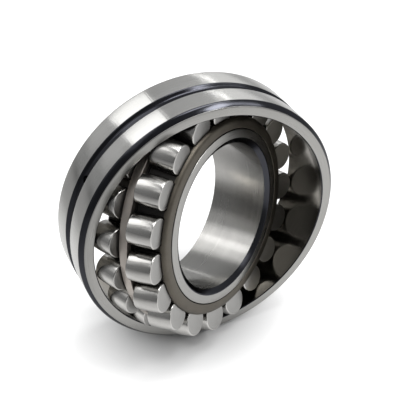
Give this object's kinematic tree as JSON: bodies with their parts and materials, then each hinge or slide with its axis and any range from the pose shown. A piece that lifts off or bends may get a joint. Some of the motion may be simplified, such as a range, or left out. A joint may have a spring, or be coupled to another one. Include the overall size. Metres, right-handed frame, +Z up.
{
  "type": "spherical roller bearing",
  "caption": "Spherical roller bearing: barrel rollers in window cages run between a grooved outer ring with a spherical raceway and an inner ring that can swivel out of line with it.",
  "frame": {"origin": "centre of the bearing, where the swivel axis and the rings' axes cross", "axes": "+Z up; the outer ring's axis along Y with its front side facing -Y; the inner assembly is swivelled 30.3 degrees about an axis leaning 12.8 degrees from +Z towards -X"},
  "size_m": [0.1098, 0.0728, 0.1098],
  "materials": {
    "ring_steel": "ground hardened steel, satin",
    "roller_steel": "finely ground hardened steel, bright",
    "cage_steel": "pressed steel with a dull brown grey surface treatment",
    "guide_steel": "turned steel with a dull brownish surface"
  },
  "bodies": {
    "outer_ring": {"outer_ring": "ring_steel"},
    "inner_ring": {"inner_ring": "ring_steel"},
    "guide_ring": {"guide_ring": "guide_steel"},
    "cage_front": {"cage_front": "cage_steel"},
    "cage_rear": {"cage_rear": "cage_steel"},
    "roller_front_01": {"roller_front_01": "roller_steel"},
    "roller_front_02": {"roller_front_02": "roller_steel"},
    "roller_front_03": {"roller_front_03": "roller_steel"},
    "roller_front_04": {"roller_front_04": "roller_steel"},
    "roller_front_05": {"roller_front_05": "roller_steel"},
    "roller_front_06": {"roller_front_06": "roller_steel"},
    "roller_front_07": {"roller_front_07": "roller_steel"},
    "roller_front_08": {"roller_front_08": "roller_steel"},
    "roller_front_09": {"roller_front_09": "roller_steel"},
    "roller_front_10": {"roller_front_10": "roller_steel"},
    "roller_front_11": {"roller_front_11": "roller_steel"},
    "roller_front_12": {"roller_front_12": "roller_steel"},
    "roller_front_13": {"roller_front_13": "roller_steel"},
    "roller_front_14": {"roller_front_14": "roller_steel"},
    "roller_front_15": {"roller_front_15": "roller_steel"},
    "roller_front_16": {"roller_front_16": "roller_steel"},
    "roller_front_17": {"roller_front_17": "roller_steel"},
    "roller_front_18": {"roller_front_18": "roller_steel"},
    "roller_front_19": {"roller_front_19": "roller_steel"},
    "roller_rear_01": {"roller_rear_01": "roller_steel"},
    "roller_rear_02": {"roller_rear_02": "roller_steel"},
    "roller_rear_03": {"roller_rear_03": "roller_steel"},
    "roller_rear_04": {"roller_rear_04": "roller_steel"},
    "roller_rear_05": {"roller_rear_05": "roller_steel"},
    "roller_rear_06": {"roller_rear_06": "roller_steel"},
    "roller_rear_07": {"roller_rear_07": "roller_steel"},
    "roller_rear_08": {"roller_rear_08": "roller_steel"},
    "roller_rear_09": {"roller_rear_09": "roller_steel"},
    "roller_rear_10": {"roller_rear_10": "roller_steel"},
    "roller_rear_11": {"roller_rear_11": "roller_steel"},
    "roller_rear_12": {"roller_rear_12": "roller_steel"},
    "roller_rear_13": {"roller_rear_13": "roller_steel"},
    "roller_rear_14": {"roller_rear_14": "roller_steel"},
    "roller_rear_15": {"roller_rear_15": "roller_steel"},
    "roller_rear_16": {"roller_rear_16": "roller_steel"},
    "roller_rear_17": {"roller_rear_17": "roller_steel"},
    "roller_rear_18": {"roller_rear_18": "roller_steel"},
    "roller_rear_19": {"roller_rear_19": "roller_steel"}
  },
  "joints": [
    {"name": "swivel", "type": "hinge", "parent": "outer_ring", "child": "guide_ring", "pos_m": [0, 0, 0], "axis": [-0.2215, 0, 0.9751], "range_deg": [-75.3, 14.7]},
    {"name": "inner_ring_spin", "type": "hinge", "parent": "guide_ring", "child": "inner_ring", "pos_m": [0, 0, 0], "axis": [0.492, -0.8634, 0.1118], "continuous": true},
    {"name": "cage_front_spin", "type": "hinge", "parent": "guide_ring", "child": "cage_front", "pos_m": [0, 0, 0], "axis": [0.492, -0.8634, 0.1118], "continuous": true},
    {"name": "cage_rear_spin", "type": "hinge", "parent": "guide_ring", "child": "cage_rear", "pos_m": [0, 0, 0], "axis": [0.492, -0.8634, 0.1118], "continuous": true},
    {"name": "roller_front_01_spin", "type": "hinge", "parent": "cage_front", "child": "roller_front_01", "pos_m": [0.04161, 0.01557, 0.00611], "axis": [0.3375, -0.937, 0.0897], "continuous": true},
    {"name": "roller_front_02_spin", "type": "hinge", "parent": "cage_front", "child": "roller_front_02", "pos_m": [0.03728, 0.0149, 0.01998], "axis": [0.3544, -0.9344, 0.0357], "continuous": true},
    {"name": "roller_front_03_spin", "type": "hinge", "parent": "cage_front", "child": "roller_front_03", "pos_m": [0.02933, 0.0119, 0.03178], "axis": [0.3853, -0.9227, -0.0102], "continuous": true},
    {"name": "roller_front_04_spin", "type": "hinge", "parent": "cage_front", "child": "roller_front_04", "pos_m": [0.0186, 0.00688, 0.04023], "axis": [0.427, -0.9032, -0.043], "continuous": true},
    {"name": "roller_front_05_spin", "type": "hinge", "parent": "cage_front", "child": "roller_front_05", "pos_m": [0.00627, 0.00039, 0.04441], "axis": [0.475, -0.878, -0.0593], "continuous": true},
    {"name": "roller_front_06_spin", "type": "hinge", "parent": "cage_front", "child": "roller_front_06", "pos_m": [-0.00632, -0.00685, 0.04387], "axis": [0.524, -0.8498, -0.0572], "continuous": true},
    {"name": "roller_front_07_spin", "type": "hinge", "parent": "cage_front", "child": "roller_front_07", "pos_m": [-0.01783, -0.01408, 0.03867], "axis": [0.5688, -0.8217, -0.037], "continuous": true},
    {"name": "roller_front_08_spin", "type": "hinge", "parent": "cage_front", "child": "roller_front_08", "pos_m": [-0.02698, -0.0205, 0.02938], "axis": [0.6044, -0.7967, -0.0008], "continuous": true},
    {"name": "roller_front_09_spin", "type": "hinge", "parent": "cage_front", "child": "roller_front_09", "pos_m": [-0.03281, -0.02543, 0.01699], "axis": [0.6271, -0.7775, 0.0474], "continuous": true},
    {"name": "roller_front_10_spin", "type": "hinge", "parent": "cage_front", "child": "roller_front_10", "pos_m": [-0.03467, -0.02831, 0.00286], "axis": [0.6343, -0.7663, 0.1023], "continuous": true},
    {"name": "roller_front_11_spin", "type": "hinge", "parent": "cage_front", "child": "roller_front_11", "pos_m": [-0.03236, -0.02885, -0.01149], "axis": [0.6253, -0.7642, 0.1582], "continuous": true},
    {"name": "roller_front_12_spin", "type": "hinge", "parent": "cage_front", "child": "roller_front_12", "pos_m": [-0.02613, -0.02699, -0.0245], "axis": [0.6011, -0.7714, 0.2088], "continuous": true},
    {"name": "roller_front_13_spin", "type": "hinge", "parent": "cage_front", "child": "roller_front_13", "pos_m": [-0.01666, -0.02292, -0.03476], "axis": [0.5642, -0.7873, 0.2487], "continuous": true},
    {"name": "roller_front_14_spin", "type": "hinge", "parent": "cage_front", "child": "roller_front_14", "pos_m": [-0.00497, -0.01709, -0.04117], "axis": [0.5188, -0.8099, 0.2736], "continuous": true},
    {"name": "roller_front_15_spin", "type": "hinge", "parent": "cage_front", "child": "roller_front_15", "pos_m": [0.00766, -0.01013, -0.04301], "axis": [0.4696, -0.837, 0.2808], "continuous": true},
    {"name": "roller_front_16_spin", "type": "hinge", "parent": "cage_front", "child": "roller_front_16", "pos_m": [0.01988, -0.00279, -0.04011], "axis": [0.4221, -0.8656, 0.2695], "continuous": true},
    {"name": "roller_front_17_spin", "type": "hinge", "parent": "cage_front", "child": "roller_front_17", "pos_m": [0.03035, 0.00413, -0.03276], "axis": [0.3813, -0.8925, 0.2409], "continuous": true},
    {"name": "roller_front_18_spin", "type": "hinge", "parent": "cage_front", "child": "roller_front_18", "pos_m": [0.03795, 0.00988, -0.02177], "axis": [0.3518, -0.9149, 0.1982], "continuous": true},
    {"name": "roller_front_19_spin", "type": "hinge", "parent": "cage_front", "child": "roller_front_19", "pos_m": [0.04184, 0.01384, -0.00833], "axis": [0.3366, -0.9303, 0.1459], "continuous": true},
    {"name": "roller_rear_01_spin", "type": "hinge", "parent": "cage_rear", "child": "roller_rear_01", "pos_m": [0.03236, 0.02885, 0.01149], "axis": [0.6253, -0.7642, 0.1582], "continuous": true},
    {"name": "roller_rear_02_spin", "type": "hinge", "parent": "cage_rear", "child": "roller_rear_02", "pos_m": [0.02613, 0.02699, 0.0245], "axis": [0.6011, -0.7714, 0.2088], "continuous": true},
    {"name": "roller_rear_03_spin", "type": "hinge", "parent": "cage_rear", "child": "roller_rear_03", "pos_m": [0.01666, 0.02292, 0.03476], "axis": [0.5642, -0.7873, 0.2487], "continuous": true},
    {"name": "roller_rear_04_spin", "type": "hinge", "parent": "cage_rear", "child": "roller_rear_04", "pos_m": [0.00497, 0.01709, 0.04117], "axis": [0.5188, -0.8099, 0.2736], "continuous": true},
    {"name": "roller_rear_05_spin", "type": "hinge", "parent": "cage_rear", "child": "roller_rear_05", "pos_m": [-0.00766, 0.01013, 0.04301], "axis": [0.4696, -0.837, 0.2808], "continuous": true},
    {"name": "roller_rear_06_spin", "type": "hinge", "parent": "cage_rear", "child": "roller_rear_06", "pos_m": [-0.01988, 0.00279, 0.04011], "axis": [0.4221, -0.8656, 0.2695], "continuous": true},
    {"name": "roller_rear_07_spin", "type": "hinge", "parent": "cage_rear", "child": "roller_rear_07", "pos_m": [-0.03035, -0.00413, 0.03276], "axis": [0.3813, -0.8925, 0.2409], "continuous": true},
    {"name": "roller_rear_08_spin", "type": "hinge", "parent": "cage_rear", "child": "roller_rear_08", "pos_m": [-0.03795, -0.00988, 0.02177], "axis": [0.3518, -0.9149, 0.1982], "continuous": true},
    {"name": "roller_rear_09_spin", "type": "hinge", "parent": "cage_rear", "child": "roller_rear_09", "pos_m": [-0.04184, -0.01384, 0.00833], "axis": [0.3366, -0.9303, 0.1459], "continuous": true},
    {"name": "roller_rear_10_spin", "type": "hinge", "parent": "cage_rear", "child": "roller_rear_10", "pos_m": [-0.04161, -0.01557, -0.00611], "axis": [0.3375, -0.937, 0.0897], "continuous": true},
    {"name": "roller_rear_11_spin", "type": "hinge", "parent": "cage_rear", "child": "roller_rear_11", "pos_m": [-0.03728, -0.0149, -0.01998], "axis": [0.3544, -0.9344, 0.0357], "continuous": true},
    {"name": "roller_rear_12_spin", "type": "hinge", "parent": "cage_rear", "child": "roller_rear_12", "pos_m": [-0.02933, -0.0119, -0.03178], "axis": [0.3853, -0.9227, -0.0102], "continuous": true},
    {"name": "roller_rear_13_spin", "type": "hinge", "parent": "cage_rear", "child": "roller_rear_13", "pos_m": [-0.0186, -0.00688, -0.04023], "axis": [0.427, -0.9032, -0.043], "continuous": true},
    {"name": "roller_rear_14_spin", "type": "hinge", "parent": "cage_rear", "child": "roller_rear_14", "pos_m": [-0.00627, -0.00039, -0.04441], "axis": [0.475, -0.878, -0.0593], "continuous": true},
    {"name": "roller_rear_15_spin", "type": "hinge", "parent": "cage_rear", "child": "roller_rear_15", "pos_m": [0.00632, 0.00685, -0.04387], "axis": [0.524, -0.8498, -0.0572], "continuous": true},
    {"name": "roller_rear_16_spin", "type": "hinge", "parent": "cage_rear", "child": "roller_rear_16", "pos_m": [0.01783, 0.01408, -0.03867], "axis": [0.5688, -0.8217, -0.037], "continuous": true},
    {"name": "roller_rear_17_spin", "type": "hinge", "parent": "cage_rear", "child": "roller_rear_17", "pos_m": [0.02698, 0.0205, -0.02938], "axis": [0.6044, -0.7967, -0.0008], "continuous": true},
    {"name": "roller_rear_18_spin", "type": "hinge", "parent": "cage_rear", "child": "roller_rear_18", "pos_m": [0.03281, 0.02543, -0.01699], "axis": [0.6271, -0.7775, 0.0474], "continuous": true},
    {"name": "roller_rear_19_spin", "type": "hinge", "parent": "cage_rear", "child": "roller_rear_19", "pos_m": [0.03467, 0.02831, -0.00286], "axis": [0.6343, -0.7663, 0.1023], "continuous": true}
  ],
  "couplings": [
    {"joint": "cage_front_spin", "follows": "inner_ring_spin", "ratio": 0.43088},
    {"joint": "cage_rear_spin", "follows": "inner_ring_spin", "ratio": 0.43088},
    {"joint": "roller_front_01_spin", "follows": "inner_ring_spin", "ratio": -3.495},
    {"joint": "roller_front_02_spin", "follows": "inner_ring_spin", "ratio": -3.495},
    {"joint": "roller_front_03_spin", "follows": "inner_ring_spin", "ratio": -3.495},
    {"joint": "roller_front_04_spin", "follows": "inner_ring_spin", "ratio": -3.495},
    {"joint": "roller_front_05_spin", "follows": "inner_ring_spin", "ratio": -3.495},
    {"joint": "roller_front_06_spin", "follows": "inner_ring_spin", "ratio": -3.495},
    {"joint": "roller_front_07_spin", "follows": "inner_ring_spin", "ratio": -3.495},
    {"joint": "roller_front_08_spin", "follows": "inner_ring_spin", "ratio": -3.495},
    {"joint": "roller_front_09_spin", "follows": "inner_ring_spin", "ratio": -3.495},
    {"joint": "roller_front_10_spin", "follows": "inner_ring_spin", "ratio": -3.495},
    {"joint": "roller_front_11_spin", "follows": "inner_ring_spin", "ratio": -3.495},
    {"joint": "roller_front_12_spin", "follows": "inner_ring_spin", "ratio": -3.495},
    {"joint": "roller_front_13_spin", "follows": "inner_ring_spin", "ratio": -3.495},
    {"joint": "roller_front_14_spin", "follows": "inner_ring_spin", "ratio": -3.495},
    {"joint": "roller_front_15_spin", "follows": "inner_ring_spin", "ratio": -3.495},
    {"joint": "roller_front_16_spin", "follows": "inner_ring_spin", "ratio": -3.495},
    {"joint": "roller_front_17_spin", "follows": "inner_ring_spin", "ratio": -3.495},
    {"joint": "roller_front_18_spin", "follows": "inner_ring_spin", "ratio": -3.495},
    {"joint": "roller_front_19_spin", "follows": "inner_ring_spin", "ratio": -3.495},
    {"joint": "roller_rear_01_spin", "follows": "inner_ring_spin", "ratio": -3.495},
    {"joint": "roller_rear_02_spin", "follows": "inner_ring_spin", "ratio": -3.495},
    {"joint": "roller_rear_03_spin", "follows": "inner_ring_spin", "ratio": -3.495},
    {"joint": "roller_rear_04_spin", "follows": "inner_ring_spin", "ratio": -3.495},
    {"joint": "roller_rear_05_spin", "follows": "inner_ring_spin", "ratio": -3.495},
    {"joint": "roller_rear_06_spin", "follows": "inner_ring_spin", "ratio": -3.495},
    {"joint": "roller_rear_07_spin", "follows": "inner_ring_spin", "ratio": -3.495},
    {"joint": "roller_rear_08_spin", "follows": "inner_ring_spin", "ratio": -3.495},
    {"joint": "roller_rear_09_spin", "follows": "inner_ring_spin", "ratio": -3.495},
    {"joint": "roller_rear_10_spin", "follows": "inner_ring_spin", "ratio": -3.495},
    {"joint": "roller_rear_11_spin", "follows": "inner_ring_spin", "ratio": -3.495},
    {"joint": "roller_rear_12_spin", "follows": "inner_ring_spin", "ratio": -3.495},
    {"joint": "roller_rear_13_spin", "follows": "inner_ring_spin", "ratio": -3.495},
    {"joint": "roller_rear_14_spin", "follows": "inner_ring_spin", "ratio": -3.495},
    {"joint": "roller_rear_15_spin", "follows": "inner_ring_spin", "ratio": -3.495},
    {"joint": "roller_rear_16_spin", "follows": "inner_ring_spin", "ratio": -3.495},
    {"joint": "roller_rear_17_spin", "follows": "inner_ring_spin", "ratio": -3.495},
    {"joint": "roller_rear_18_spin", "follows": "inner_ring_spin", "ratio": -3.495},
    {"joint": "roller_rear_19_spin", "follows": "inner_ring_spin", "ratio": -3.495}
  ]
}
